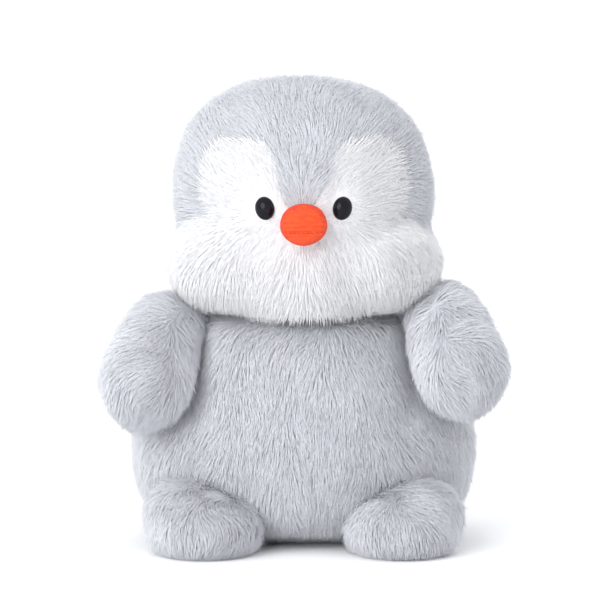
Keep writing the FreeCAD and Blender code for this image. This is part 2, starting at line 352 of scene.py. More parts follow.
def fibre_material(name, colour, roughness=0.62):
    """One shade of the pile. The sheen's tint drifts over the coat as the fibres' lie does."""
    material, shader = new_material(
        name, colour, roughness, Sheen_Weight=0.35, Sheen_Roughness=0.4, Specular_IOR_Level=0.3,
        Subsurface_Weight=0.2, Subsurface_Radius=(1, 1, 1), Subsurface_Scale=1 * MM
    )
    tint = ramp(material, noise(material, 60), [(0.3, (0.85, 0.9, 1)), (0.7, (1, 1, 1))])
    wire(material, tint, shader.inputs["Sheen Tint"])
    return material


def shades(name, root, dark, light):
    """The shades of one coat: first the roots' colours, darker as painted shade of the pile's depth, then the
    tips'.
    """
    roots, tips = [], []
    for step in range(SHADES):
        share = step / (SHADES - 1)
        tip_colour = np.array(dark) * (1 - share) + np.array(light) * share
        shaded_root_colour = np.array(root) * (0.9 + 0.2 * share)
        tips.append(fibre_material(f"{name}_tip_{step}", tuple(tip_colour)))
        roots.append(fibre_material(f"{name}_root_{step}", tuple(shaded_root_colour), 0.8))
    return roots + tips


def eye_material():
    """Glossy black plastic."""
    material, shader = new_material("eye_gloss", (0.005, 0.005, 0.008), 0.08, Specular_IOR_Level=0.15)
    grain = noise(material, 500)
    varied(material, shader, grain, (0.004, 0.004, 0.006), (0.008, 0.008, 0.012), (0.06, 0.1))
    bump(material, shader, noise(material, 260, 2), 0.05, 0.05 * MM)
    return material


def moulded_material(name, dark, light):
    """Moulded plastic: a faint grain, and slightly cloudy colour."""
    material, shader = new_material(name, light, 0.4, Subsurface_Weight=0.1)
    varied(material, shader, noise(material, 400), dark, light, (0.3, 0.5))
    bump(material, shader, noise(material, 2500, 2), 0.2, 0.05 * MM)
    return material


def filling_material():
    """Crimped polyester fibre."""
    material, shader = new_material("polyester_fill", (0.9, 0.9, 0.9), 0.85, Sheen_Weight=0.5)
    varied(material, shader, noise(material, 150, 8), (0.78, 0.79, 0.8), (0.93, 0.93, 0.93), (0.75, 0.95))
    bump(material, shader, noise(material, 700, 8, 0.8), 0.9, 1.5 * MM)
    return material


def thread_material(name, dark, light):
    """Twisted thread."""
    material, shader = new_material(name, light, 0.6, Sheen_Weight=0.3)
    twist = add_node(material, "ShaderNodeTexWave", Scale=700, Distortion=0.5)
    twist.bands_direction = "DIAGONAL"
    wire(material, position(material), twist.inputs["Vector"])
    varied(material, shader, twist.outputs["Fac"], dark, light, (0.5, 0.7))
    bump(material, shader, twist.outputs["Fac"], 0.7, 0.3 * MM)
    return material


def beak_material():
    """Short-pile orange cloth: dense nap with soft horizontal rows; painted shade darkens its edge a little.
    """
    material, shader = new_material(
        "beak_cloth", (0.75, 0.07, 0.012), 0.8,
        Sheen_Weight=0.06, Sheen_Roughness=0.4, Sheen_Tint=(1, 0.5, 0.3, 1)
    )
    nap = noise(material, 1, 5, 0.7, stretched(material, (300, 300, 900)))
    place = add_node(material, "ShaderNodeMapping", vector_type="TEXTURE")
    place.inputs["Location"].default_value = tuple(BEAK_MID)
    place.inputs["Scale"].default_value = tuple(BEAK_RADII)
    wire(material, position(material), place.inputs["Vector"])
    flat = add_node(material, "ShaderNodeVectorMath", operation="MULTIPLY")
    flat.inputs[1].default_value = (1, 0, 1)
    wire(material, place.outputs["Vector"], flat.inputs[0])
    reach = add_node(material, "ShaderNodeVectorMath", operation="LENGTH")
    wire(material, flat.outputs["Vector"], reach.inputs[0])
    # painted shade: the colour darkens towards the beak's edge, standing in for the shadow of the fur around
    # it
    painted_rim_shade = add_node(material, "ShaderNodeMapRange")
    for key, value in {"From Min": 0.75, "From Max": 1.05, "To Min": 0, "To Max": -0.2}.items():
        painted_rim_shade.inputs[key].default_value = value
    wire(material, reach.outputs["Value"], painted_rim_shade.inputs["Value"])
    shade = add_node(material, "ShaderNodeMath", operation="ADD")
    wire(material, nap, shade.inputs[0])
    wire(material, painted_rim_shade.outputs["Result"], shade.inputs[1])
    varied(material, shader, shade.outputs["Value"], (0.55, 0.03, 0.004), (0.86, 0.09, 0.012), (0.7, 0.95))
    bump(material, shader, nap, 0.8, 0.6 * MM)
    return material


GREY_SKIN = ((0.5, 0.53, 0.58), (0.58, 0.61, 0.66))  # the dark and the light of the backing cloth
WHITE_SKIN = ((0.9, 0.9, 0.93), (0.95, 0.95, 0.97))
# the roots are coloured darker than the tips: painted shade deep in the pile
GREY_SHADED_ROOT, GREY_DARK, GREY_LIGHT = (0.66, 0.68, 0.72), (0.69, 0.715, 0.76), (0.79, 0.81, 0.855)
WHITE_SHADED_ROOT, WHITE_DARK, WHITE_LIGHT = (0.95, 0.95, 0.97), (0.95, 0.95, 0.975), (0.99, 0.99, 0.995)

grey_skin = cloth_material("grey_backing", *GREY_SKIN)
white_skin = cloth_material("white_backing", *WHITE_SKIN)
grey_pile = shades("grey_pile", GREY_SHADED_ROOT, GREY_DARK, GREY_LIGHT)
white_pile = shades("white_pile", WHITE_SHADED_ROOT, WHITE_DARK, WHITE_LIGHT)
filling = filling_material()
orange = beak_material()

# ---------------------------------------------------------------- panels


def finished(thing, body, slot, *nodes):
    """Says which body a piece rides and hides the nodes that it replaces; slot is not used."""
    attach(thing, body)
    if nodes:
        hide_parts(*nodes)
    return thing


def sew_panels(form, zone_names, zone_of, body, pale=()):
    """Cuts a skin into its panels and gives each the thickness of its backing cloth; pale ones are white."""
    mesh = form.data
    centres = np.empty(len(mesh.polygons) * 3)
    mesh.polygons.foreach_get("center", centres)
    zones = zone_of(centres.reshape(-1, 3))
    for number, node in enumerate(zone_names):
        bm = bmesh.new()
        bm.from_mesh(mesh)
        bm.faces.ensure_lookup_table()
        rest = [face for face, zone in zip(bm.faces, zones) if zone != number]
        bmesh.ops.delete(bm, geom=rest, context="FACES")
        panel = add_object(f"{node}_skin", from_bmesh(node, bm))
        smooth_faces(panel.data)
        thick = panel.modifiers.new("Solidify", "SOLIDIFY")
        thick.thickness = SKIN_THICK
        thick.offset = -1
        white = node.startswith(pale)
        panel.data.materials.append(white_skin if white else grey_skin)
        finished(panel, body, "white_fur" if white else "grey_fur", node)


# ---------------------------------------------------------------- pile

DENSITY = {"head": 1.5, "body": 1.4, "wing": 1.5, "foot": 1.5, "tail": 1.0}  # strands per square mm in front
BACK_DENSITY = 0.6  # behind the toy's middle, as a share of that
TUFT_SIZE = 1.6 * MM
TUFT_GATHER = 0.08  # how far the tips of a tuft draw together
ROOT_LIFT, TIP_LIFT = 30, 2  # the strands' angles off the skin, in degrees
FLYAWAYS, FLYAWAY_LIFT = 0.2, (8, 36)  # the share of strands that stand off, and by how many degrees more
ANGLE_SPREAD = 5  # degrees by which strands and tufts differ
LENGTH_SPREAD = (0.72, 1.1)
STRAND_WIDTHS = (0.24, 0.4)  # mm
STRAND_TAPER = 0.85  # the width at the middle, as a share of the root's
OWN_SHADING = 0.16  # how much a strand is shaded by its own shape; the rest is the coat's

# a strand: a triangle of vertices at the root, one at the middle and the tip, and the faces that close them
RING_ANGLES = (math.pi / 2, math.pi * 7 / 6, math.pi * 11 / 6)
STRAND_LOOPS = (0, 1, 4, 3, 1, 2, 5, 4, 2, 0, 3, 5, 3, 4, 6, 4, 5, 6, 5, 3, 6, 2, 1, 0)
STRAND_STARTS = (0, 4, 8, 12, 15, 18, 21)
TIP_FACES = (0, 0, 0, 1, 1, 1, 0)
STRAND_VERTS = 7


def scatter(mesh, per_mm2, rng):
    """Roots spread evenly over a mesh, each with the smooth normal there; the back has fewer."""
    mesh.calc_loop_triangles()
    corners = np.empty(len(mesh.loop_triangles) * 3, dtype=np.int32)
    mesh.loop_triangles.foreach_get("vertices", corners)
    corners = corners.reshape(-1, 3)
    points, normals = coords(mesh), normals_of(mesh)
    a, b, c = (points[corners[:, k]] for k in range(3))
    areas = np.linalg.norm(np.cross(b - a, c - a), axis=1) / 2
    areas *= np.where((a + b + c)[:, 1] > 0, BACK_DENSITY, 1)
    total = int(areas.sum() / MM**2 * per_mm2)
    steps = (np.arange(total) + rng.random(total)) / total * areas.sum()
    chosen = np.minimum(np.searchsorted(np.cumsum(areas), steps), len(areas) - 1)
    u, v = rng.random((2, total, 1))
    over = u + v > 1
    u, v = np.where(over, 1 - u, u), np.where(over, 1 - v, v)
    weights = (1 - u - v, u, v)
    roots = sum(w * points[corners[chosen, k]] for k, w in enumerate(weights))
    outward = unit(sum(w * normals[corners[chosen, k]] for k, w in enumerate(weights)))
    return roots, outward


def turned(tangents, normals, angles):
    """Tangents turned about the normals."""
    angles = angles[:, None]
    return tangents * np.cos(angles) + np.cross(normals, tangents) * np.sin(angles)


def clumps(roots, rng):
    """Which tuft each root belongs to, and each tuft's own random number."""
    jitter = np.stack([ripple(roots, TUFT_SIZE * 3, 40 + k) for k in range(3)], 1) * TUFT_SIZE * 0.6
    cells = np.floor((roots + jitter) / TUFT_SIZE).astype(np.int64)
    _, tuft = np.unique(cells, axis=0, return_inverse=True)
    tuft = tuft.ravel()
    return tuft, rng.random(tuft.max() + 1)


def tuft_mean(values, tuft):
    """For each strand, the mean of the values over its tuft."""
    count = np.bincount(tuft).astype(float)
    sums = [np.bincount(tuft, weights=values[:, k]) for k in range(values.shape[1])]
    return (np.stack(sums, 1) / count[:, None])[tuft]


def comb(roots, normals, flow, length, rng):
    """For each strand, its middle, its tip, the direction across it and its shade."""
    tuft, luck = clumps(roots, rng)
    along = unit(flow - normals * (flow * normals).sum(1, keepdims=True))
    swirl = 0.22 * ripple(roots, 45 * MM, 3) + 0.12 * ripple(roots, 14 * MM, 5)
    angles = swirl + 0.12 * (luck[tuft] - 0.5) + rng.normal(0, 0.12, len(roots))
    along = turned(along, normals, angles)
    each = (len(roots), 1)
    tuft_lift = ROOT_LIFT + ANGLE_SPREAD * (luck[tuft][:, None] - 0.5)
    raised = np.radians(tuft_lift + rng.normal(0, ANGLE_SPREAD, each))
    flyaway = (rng.random(each) < FLYAWAYS) * rng.uniform(*FLYAWAY_LIFT, each)
    laid = np.radians(TIP_LIFT + flyaway + rng.normal(0, ANGLE_SPREAD, each))
    sag = 0.2 + 0.9 * np.clip(-1.4 * normals[:, 2:] - 0.2, 0, 1)
    first = normals * np.sin(raised) + along * np.cos(raised)
    last = unit(normals * np.sin(laid) + along * np.cos(laid) - UP * sag)
    reach = (length * rng.uniform(*LENGTH_SPREAD, len(roots)))[:, None]
    middle = roots + reach * (first * 0.375 + last * 0.125)
    tips = roots + reach * (first + last) / 2
    middle += (tuft_mean(middle, tuft) - middle) * TUFT_GATHER * 0.35
    tips += (tuft_mean(tips, tuft) - tips) * TUFT_GATHER
    across = unit(np.cross(normals, along))
    tone = 0.5 + 0.2 * ripple(roots, 20 * MM, 8) + 0.5 * (luck[tuft] - 0.5)
    tone += rng.normal(0, 0.2, len(roots))
    shade = np.clip((tone * SHADES).astype(int), 0, SHADES - 1)
    return middle, tips, across, shade


def strand_mesh(name, roots, middle, tips, across, normals, width, shade, pile):
    """Closed three-sided spikes, one per strand, shaded partly like the coat that they lie in."""
    count = len(roots)
    verts = np.empty((count, STRAND_VERTS, 3))
    shading = np.empty((count, STRAND_VERTS, 3))
    half = (width / 2)[:, None]
    for k, angle in enumerate(RING_ANGLES):
        out = across * math.cos(angle) + normals * math.sin(angle)
        verts[:, k] = roots + out * half
        verts[:, k + 3] = middle + out * half * STRAND_TAPER
        shading[:, k] = shading[:, k + 3] = unit(out * OWN_SHADING + normals * (1 - OWN_SHADING))
    verts[:, 6] = tips
    shading[:, 6] = normals
    verts[:, :, 2] = np.maximum(verts[:, :, 2], 0.1 * MM)
    mesh = bpy.data.meshes.new(name)
    mesh.vertices.add(count * STRAND_VERTS)
    mesh.loops.add(count * len(STRAND_LOOPS))
    mesh.polygons.add(count * len(STRAND_STARTS))
    order = np.arange(count)[:, None]
    loops = order * STRAND_VERTS + STRAND_LOOPS
    starts = order * len(STRAND_LOOPS) + STRAND_STARTS
    slots = shade[:, None] + np.array(TIP_FACES) * SHADES
    mesh.vertices.foreach_set("co", verts.ravel())
    mesh.loops.foreach_set("vertex_index", loops.astype(np.int32).ravel())
    mesh.polygons.foreach_set("loop_start", starts.astype(np.int32).ravel())
    mesh.polygons.foreach_set("material_index", slots.astype(np.int32).ravel())
    mesh.update(calc_edges=True)
    smooth_faces(mesh)
    mesh.normals_split_custom_set_from_vertices(shading.reshape(-1, 3))
    for material in pile:
        mesh.materials.append(material)
    return mesh


def grow_pile(form, zone_names, zone_of, body, style_of, seed, pale=()):
    """Pile over a whole form, in one piece for each of its panels."""
    rng = np.random.default_rng(seed)
    roots, normals = scatter(form.data, DENSITY[body.split("_")[0]], rng)
    flow, length, keep = style_of(roots, normals)
    roots, normals, flow, length = roots[keep], normals[keep], flow[keep], length[keep]
    middle, tips, across, shade = comb(roots, normals, flow, length, rng)
    width = rng.uniform(*STRAND_WIDTHS, len(roots)) * MM
    zones = zone_of(roots)
    for number, node in enumerate(zone_names):
        here = zones == number
        if not here.any():
            continue
        white = node.startswith(pale)
        picked = (values[here] for values in (roots, middle, tips, across, normals, width, shade))
        mesh = strand_mesh(f"{node}_pile", *picked, white_pile if white else grey_pile)
        finished(add_object(f"{node}_pile", mesh), body, "white_fur" if white else "grey_fur", node)


# ---------------------------------------------------------------- head

HEAD_NODES = [f"{part}_{side}" for part in ("crown", "eye_patch", "muzzle", "head_back") for side in SIDES]
HEAD_BOX = union_box(*HEAD_NODES)
PATCH_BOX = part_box("eye_patch_left")
TIP_REACH = 4 * MM  # the pile lies upward on the patch, so its tips show that far above the seam
PATCH_TOP = PATCH_BOX[1].z - TIP_REACH
MUZZLE_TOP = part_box("muzzle_left")[1].z
WHITE_NODES = ("eye_patch", "muzzle")
HEAD_PILE = (11.0, 9.0, 11.0, 10.5)  # the pile's length in mm: crown, eye patch, muzzle, back
UNDER_HEAD_PILE, BARE_UNDER_HEAD = 5 * MM, 25 * MM  # the pile's length there, and the radius that has none
FACE_DEPTH = 45 * MM  # from the head's middle to where the face is at its fullest
# the grey peak widens upward from the beak, and sits a little to one side
PEAK_Z, PEAK_TOP = 176 * MM, 190 * MM
PEAK_HALF, PEAK_SLOPE, PEAK_SHIFT = 6 * MM, 0.5, 1.5 * MM
EYE_LOW, EYE_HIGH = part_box("eye_left")
EYE_RX, EYE_RZ = 5 * MM, (EYE_HIGH.z - EYE_LOW.z) / 2
EYE_DOME = 4.6 * MM  # from the front of the dome to the skin that it sits on
EYE_X, EYE_Z = EYE_HIGH.x - EYE_RX, (EYE_LOW.z + EYE_HIGH.z) / 2
# where the cheek's seam pulls in beside the eye patch: how far out, how far above the muzzle, and how deep
TUCKS = {"left": (49 * MM, -1 * MM, 6 * MM), "right": (50 * MM, 5 * MM, 11 * MM)}
TUCK_SIZE = (11 * MM, 20 * MM, 5.5 * MM)
# the pile around an eye and the beak: where it starts, where it is shortest and how far it takes to grow to
# its full length, all in their radii; the shortest length, as a share of the full one; how much it lies away
EYE_PARTING = {"bare": 1.02, "start": 1, "spread": 1.6, "shortest": 0.35, "push": 2.2}
BEAK_PARTING = {"bare": 0.9, "start": 0.9, "spread": 0.9, "shortest": 0.4, "push": 1.8}
CROWN_POWER, CROWN_LEAN = 2.35, 2 * MM


def head_zone(points):
    """0-1 crown, 2-3 eye patch, 4-5 muzzle, 6-7 back of the head; the toy's left comes first."""
    x, y, z = points.T
    aside = np.abs(x)
    patch_rx = (PATCH_BOX[1].x - PATCH_BOX[0].x - TIP_REACH / 2) / 2
    patch_x = PATCH_BOX[0].x + patch_rx
    patch_z = MUZZLE_TOP + 0.4 * (PATCH_TOP - MUZZLE_TOP)
    drop = np.maximum(aside - 0.66 * HEAD_BOX[1][0], 0) / (0.34 * HEAD_BOX[1][0])
    muzzle = z < MUZZLE_TOP + 1 * MM - 19 * MM * drop**2
    across, up = np.abs(aside - patch_x) / patch_rx, np.abs(z - patch_z) / (PATCH_TOP - patch_z)
    patch = across**2.6 + up**2.6 < 1
    peak = PEAK_HALF + (z - PEAK_Z) * PEAK_SLOPE
    patch |= (z < PEAK_TOP) & (aside < patch_x) & (np.abs(x + PEAK_SHIFT) > peak)
    back = y > HEAD_SEAM_Y
    part = np.where(back, 3, np.where(muzzle, 2, np.where(patch, 1, 0)))
    return part * 2 + (x < 0)


def tuck_distance(points, side):
    """How far the points lie from the deepest point of a tuck, in units of its reach."""
    aside, above, _ = TUCKS[side]
    notch = np.array((SIDES[side] * aside, -FACE_DEPTH, MUZZLE_TOP + above))
    return np.linalg.norm((points - notch) / TUCK_SIZE, axis=1)


def part_pile(roots, flow, length, centre, radii, bare, start, spread, shortest, push):
    """Parts the pile in front around an eye or the beak: none on it, short beside it, lying away from it."""
    away = (roots - centre) * (1, 0, 1)
    reach = np.hypot(away[:, 0] / radii[0], away[:, 2] / radii[2])
    front = roots[:, 1] < 0
    near = ease(reach, start, spread)
    length = np.where(front, length * (shortest + (1 - shortest) * near), length)
    flow = flow + np.where(front, (1 - near) * push, 0)[:, None] * unit(away)
    return flow, length, ~(front & (reach < bare))


def head_style(roots, normals):
    """Pile that is combed away from the beak and the eyes, shorter near them, and falls behind and below."""
    x, y, z = roots.T
    zone = head_zone(roots) // 2
    fall = 1.6 * ease(y, -25 * MM, 60 * MM)
    fall += 2.2 * ease(-z, -BEAK_MID[2], 20 * MM)
    flow = unit((roots - BEAK_MID) * (1, 0.5, 1)) - fall[:, None] * UP
    length = np.choose(zone, HEAD_PILE) * MM
    length *= 1 - 0.15 * ease(-z, -(HEAD_BOX[0][2] + 20 * MM), 20 * MM)
    for side in SIDES:
        length *= 1 - 0.6 * np.exp(-(tuck_distance(roots, side) ** 2))
    under = normals[:, 2] < -0.85
    keep = ~under | (np.hypot(x, y) > BARE_UNDER_HEAD)
    for sign in SIDES.values():
        centre, radii = (sign * EYE_X, 0, EYE_Z), (EYE_RX, 0, EYE_RZ)
        flow, length, clear = part_pile(roots, flow, length, centre, radii, **EYE_PARTING)
        keep &= clear
    flow, length, clear = part_pile(roots, flow, length, BEAK_MID, BEAK_RADII, **BEAK_PARTING)
    length = np.where(under, UNDER_HEAD_PILE, length)
    return flow, length, keep & clear


def square_crown(points):
    """Makes the dome of the crown fuller at its shoulders, and leans it a little to the toy's right."""
    centre = (HEAD_BOX[0] + HEAD_BOX[1]) / 2
    size = (HEAD_BOX[1] - HEAD_BOX[0]) / 2
    placed = (points - centre) / size
    round_size = np.linalg.norm(placed, axis=1)
    square_size = (np.abs(placed) ** CROWN_POWER).sum(1) ** (1 / CROWN_POWER)
    up = np.clip(placed[:, 2:] * 2, 0, 1)
    grown = centre + (points - centre) * (1 + up * (round_size / square_size - 1)[:, None])
    grown[:, 0] -= CROWN_LEAN * np.clip(placed[:, 2], 0, 1)
    return grown


def near_face(points, room):
    """The points in front that lie within room of an eye's or the beak's edge."""
    x, y, z = points.T
    eyes = np.hypot(np.abs(x) - EYE_X, z - EYE_Z) < EYE_RZ + room
    beak = np.hypot(x, z - BEAK_MID[2]) < BEAK_RADII[2] + room
    return (y < 0) & (eyes | beak)


def face_forward(points):
    """Stretches the front of the head until the skin reaches the backs of the eyes' domes."""
    x, y, z = points.T
    at_eye = (y < 0) & (np.hypot(np.abs(x) - EYE_X, z - EYE_Z) < VOXEL)
    stretch = (EYE_LOW.y + EYE_DOME) / y[at_eye].mean() - 1
    grown = points.copy()
    grown[:, 1] *= 1 + stretch * ease(-y, 0, FACE_DEPTH)
    return grown


def make_head():
    blobs = [
        blob(HEAD_BOX, (0.5, 0.504, 0.498), (0.896, 0.942, 0.947)),
        blob(HEAD_BOX, (0.264, 0.43, 0.231), (0.479, 0.727, 0.437)),
        blob(HEAD_BOX, (0.736, 0.43, 0.231), (0.479, 0.727, 0.437)),
        blob(HEAD_BOX, (0.5, 0.397, 0.206), (0.62, 0.74, 0.55)),
    ]
    form = melded("head_form", blobs)
    points = coords(form.data)
    points = face_forward(square_crown(points))
    chin = HEAD_BOX[0][2] + 1 * MM + 4 * MM * ease(-points[:, 1], 0, FACE_DEPTH)
    points[:, 2] = np.maximum(points[:, 2], chin)
    held = np.zeros(len(points), dtype=bool)
    for side in SIDES:
        far = tuck_distance(points, side)
        points -= unit(points - (0, 0, MUZZLE_TOP)) * TUCKS[side][2] * np.exp(-(far**2))[:, None]
        held |= far < 0.8
    set_coords(form.data, points)
    x, y, z = points.T
    held |= (np.abs(y - HEAD_SEAM_Y) < SEAM_HALF) | ((np.abs(x) < SEAM_HALF) & (y > 0))
    held |= (z < HEAD_BOX[0][2] + 9 * MM) | near_face(points, 3 * MM)
    form = stuffed(form, held)
    sew_panels(form, HEAD_NODES, head_zone, "head", WHITE_NODES)
    grow_pile(form, HEAD_NODES, head_zone, "head", head_style, 11, WHITE_NODES)
    return form


# ---------------------------------------------------------------- body

BODY_NODES = [f"body_{face}_{side}" for face in ("front", "back") for side in SIDES] + ["body_base"]
BODY_BOX = union_box(*BODY_NODES)
BODY_BLOB = blob(BODY_BOX, (0.5, 0.5, 0.432), (0.992, 0.965, 1.55))
BODY_PILE, HEM_PILE, BASE_PILE = 12, 7, 4  # the pile's length in mm
BARE_RADIUS = 24 * MM  # of the round on top, under the head, that has no pile
HEM_TOP, HEM_SHARE = 26 * MM, 0.25  # below that height the body narrows, at the floor by that share
HIP_Z, HIP_REACH, HIP_SHARE = 42 * MM, 24 * MM, 0.012
WING_BED = (58 * MM, 118 * MM)  # the heights between which the sides are set back behind the wings
WING_BED_X, WING_BED_DEPTH = 42 * MM, 7 * MM
LID_RISE, LID_SLOPE, LID_DROP = 4 * MM, 0.06, 12 * MM  # the flat under the head, and its fall at the back
CHEST_Z, CHEST_SHARE = 85 * MM, 0.13
HEM_FRONT, HEM_SLOPE = 22 * MM, 0.33  # in front of that, the underside rises


def body_zone(points):
    """0-1 front, 2-3 back, 4 base; the toy's left comes first."""
    x, y, z = points.T
    return np.where(z < BASE_TOP, 4, (y > BODY_SEAM_Y) * 2 + (x < 0))


def body_style(roots, normals):
    """Pile that runs down and outward, and meets in a ridge along the middle of the front."""
    x, y, z = roots.T
    centre = (BODY_BOX[0] + BODY_BOX[1]) / 2
    size = (BODY_BOX[1] - BODY_BOX[0]) / 2
    flow = (roots - centre) / size * (0.35, 0.25, 0) - UP
    meet = 0.35 * np.exp(-((x / (9 * MM)) ** 2)) * np.tanh(x / (2 * MM))
    flow[:, 0] -= np.where(y < 0, meet, 0)
    length = (BODY_PILE - (BODY_PILE - HEM_PILE) * ease(-z, -32 * MM, 18 * MM)) * MM
    under = normals[:, 2] < -0.8
    length = np.where(under, BASE_PILE * MM, length)
    keep = ~((normals[:, 2] > 0.9) & (np.hypot(x, y) < BARE_RADIUS))
    return flow, length, keep


def hem_tuck(z):
    """The body's width at each height near the floor, as a share of what it would be untucked."""
    return 1 - HEM_SHARE * ease(-z, -HEM_TOP, HEM_TOP) ** 1.8


def shape_body(points):
    """Full hips, sides set back behind the wings, a lid under the head, a full chest and a raised hem."""
    z = points[:, 2]
    points[:, 0] *= 1 + HIP_SHARE * np.exp(-(((z - HIP_Z) / HIP_REACH) ** 2))
    behind = ease(np.abs(points[:, 0]), WING_BED_X, 9 * MM) * ease(-points[:, 1], 0, 30 * MM)
    behind *= ease(z, WING_BED[0], 12 * MM) * ease(-z, -WING_BED[1], 12 * MM)
    points[:, 1] += behind * WING_BED_DEPTH
    points[:, :2] *= hem_tuck(z)[:, None]
    wide = np.hypot(points[:, 0], points[:, 1])
    drop = LID_DROP * ease(points[:, 1], 0, 30 * MM) * (wide / (60 * MM)) ** 3
    lid = BODY_TOP + LID_RISE - LID_SLOPE * wide - drop
    z = np.where(z > lid, lid, z)
    chest = ease(z, CHEST_Z, 25 * MM) * (points[:, 1] < 0)
    points[:, 1] *= 1 + CHEST_SHARE * chest
    hem = FLOOR_GAP + HEM_SLOPE * np.maximum(-points[:, 1] - HEM_FRONT, 0)
    points[:, 2] = np.maximum(z, hem)


def make_body():
    form = melded("body_form", [BODY_BLOB])
    points = coords(form.data)
    shape_body(points)
    set_coords(form.data, points)
    x, y, z = points.T
    held = (np.abs(y - BODY_SEAM_Y) < SEAM_HALF) | (np.abs(x) < SEAM_HALF)
    held |= (z < BASE_TOP) | (z > BODY_TOP - 6 * MM)
    form = stuffed(form, held)
    sew_panels(form, BODY_NODES, body_zone, "body")
    grow_pile(form, BODY_NODES, body_zone, "body", body_style, 12)
    return form


# ---------------------------------------------------------------- wings, feet and tail

LIMB_GAP = 0.5 * MM  # between a limb's back and the body
LIMB_VOXEL, LIMB_SMOOTH = 3.5 * MM, 10
WING_PILE, FOOT_PILE, TAIL_PILE, SOLE_PILE = 10.5, 9.5, 9.0, 4.0  # the pile's length in mm
WING_OFFSET = 3 * MM  # the left wing sits this much higher than its panels in the frame, the right one lower


def off_body(points):
    """Moves points that lie in the body out to its surface, so that a limb's back fits it."""
    centre, radii = BODY_BLOB
    out = (points - centre) / (radii + LIMB_GAP)
    out[:, :2] /= hem_tuck(points[:, 2])[:, None]
    depth = np.linalg.norm(out, axis=1, keepdims=True)
    return centre + (points - centre) / np.minimum(depth, 1)


def limb_flow(roots, lie, seed):
    """One lie for a limb's pile, with ruffles."""
    return np.array(lie) + 0.3 * np.stack([ripple(roots, 26 * MM, seed + k) for k in range(3)], 1)


def make_wing(side):
    nodes = [f"wing_{side}_outer", f"wing_{side}_inner"]
    box = union_box("wing_left_outer", "wing_left_inner")
    offset = WING_OFFSET * SIDES[side]
    shoulder = blob(box, (0.35, 0.83, 0.769), (0.76, 0.68, 0.49))
    upper = blob(box, (0.46, 0.59, 0.58), (0.8, 0.79, 0.7))
    lobe = blob(box, (0.55, 0.37, 0.42), (0.86, 0.83, 0.69))
    chain = [(centre + UP * offset, radii) for centre, radii in (shoulder, upper, lobe)]
    form = melded(f"wing_{side}_form", mirrored(chain, side), LIMB_VOXEL, LIMB_SMOOTH)
    seam = WING_SEAM_X * SIDES[side]

    def zone(points):
        return (points[:, 0] * SIDES[side] < WING_SEAM_X).astype(int)

    def style(roots, normals):
        flow = limb_flow(roots, (0.5 * SIDES[side], 0.3, -0.9), 50)
        return flow, np.full(len(roots), WING_PILE * MM), np.ones(len(roots), dtype=bool)

    points = off_body(coords(form.data))
    set_coords(form.data, points)
    form = stuffed(form, np.abs(points[:, 0] - seam) < SEAM_HALF, LIMB_CAP)
    sew_panels(form, nodes, zone, f"wing_{side}")
    grow_pile(form, nodes, zone, f"wing_{side}", style, 20 + SIDES[side])
    return form


def make_foot(side):
    nodes = [f"foot_{side}_upper", f"foot_{side}_sole"]
    box = union_box("foot_left_upper", "foot_left_sole")
    ball = blob(box, (0.49, 0.602, 0.361), (0.96, 1.084, 1.06))
    instep = blob(box, (0.6, 0.7, 0.5), (0.8, 0.93, 0.98))
    form = melded(f"foot_{side}_form", mirrored([ball, instep], side), LIMB_VOXEL, LIMB_SMOOTH)
    points = off_body(coords(form.data))
    points[:, 2] = np.maximum(points[:, 2], FLOOR_GAP)
    set_coords(form.data, points)

    def zone(points):
        return (points[:, 2] < SOLE_TOP).astype(int)

    def style(roots, normals):
        flow = limb_flow(roots, (0.2 * SIDES[side], -0.3, -0.9), 60)
        length = np.where(normals[:, 2] < -0.8, SOLE_PILE, FOOT_PILE) * MM
        return flow, length, np.ones(len(roots), dtype=bool)

    form = stuffed(form, points[:, 2] < SOLE_TOP, LIMB_CAP)
    sew_panels(form, nodes, zone, f"foot_{side}")
    grow_pile(form, nodes, zone, f"foot_{side}", style, 30 + SIDES[side])
    return form


def make_tail():
    nodes = ["tail_upper", "tail_lower"]
    box = union_box(*nodes)
    form = melded("tail_form", [blob(box, (0.5, 0.09, 0.556), (0.833, 1.53, 0.833))], 2.5 * MM)

    def zone(points):
        return (points[:, 2] < TAIL_SEAM_Z).astype(int)

    def style(roots, normals):
        flow = np.tile((0.0, 1.0, -0.5), (len(roots), 1))
        return flow, np.full(len(roots), TAIL_PILE * MM), np.ones(len(roots), dtype=bool)

    points = coords(form.data)
    form = stuffed(form, np.abs(points[:, 2] - TAIL_SEAM_Z) < SEAM_HALF / 2, TAIL_CAP)
    sew_panels(form, nodes, zone, "tail")
    grow_pile(form, nodes, zone, "tail", style, 40)
    return form


# ---------------------------------------------------------------- eyes and beak

ROW_PITCH, ROW_DEPTH = 2.4 * MM, 0.6 * MM  # the grooves between the rows of nap
MOUTH_DEPTH, MOUTH_HALF = 0.9 * MM, 0.8 * MM  # the groove at the mouth seam
STITCH_PITCH = 2.2  # mm


def paint(node, material):
    """A carried-over solid whose shape is right gets its finish."""
    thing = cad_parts[node]
    thing.data.materials.clear()
    thing.data.materials.append(material)


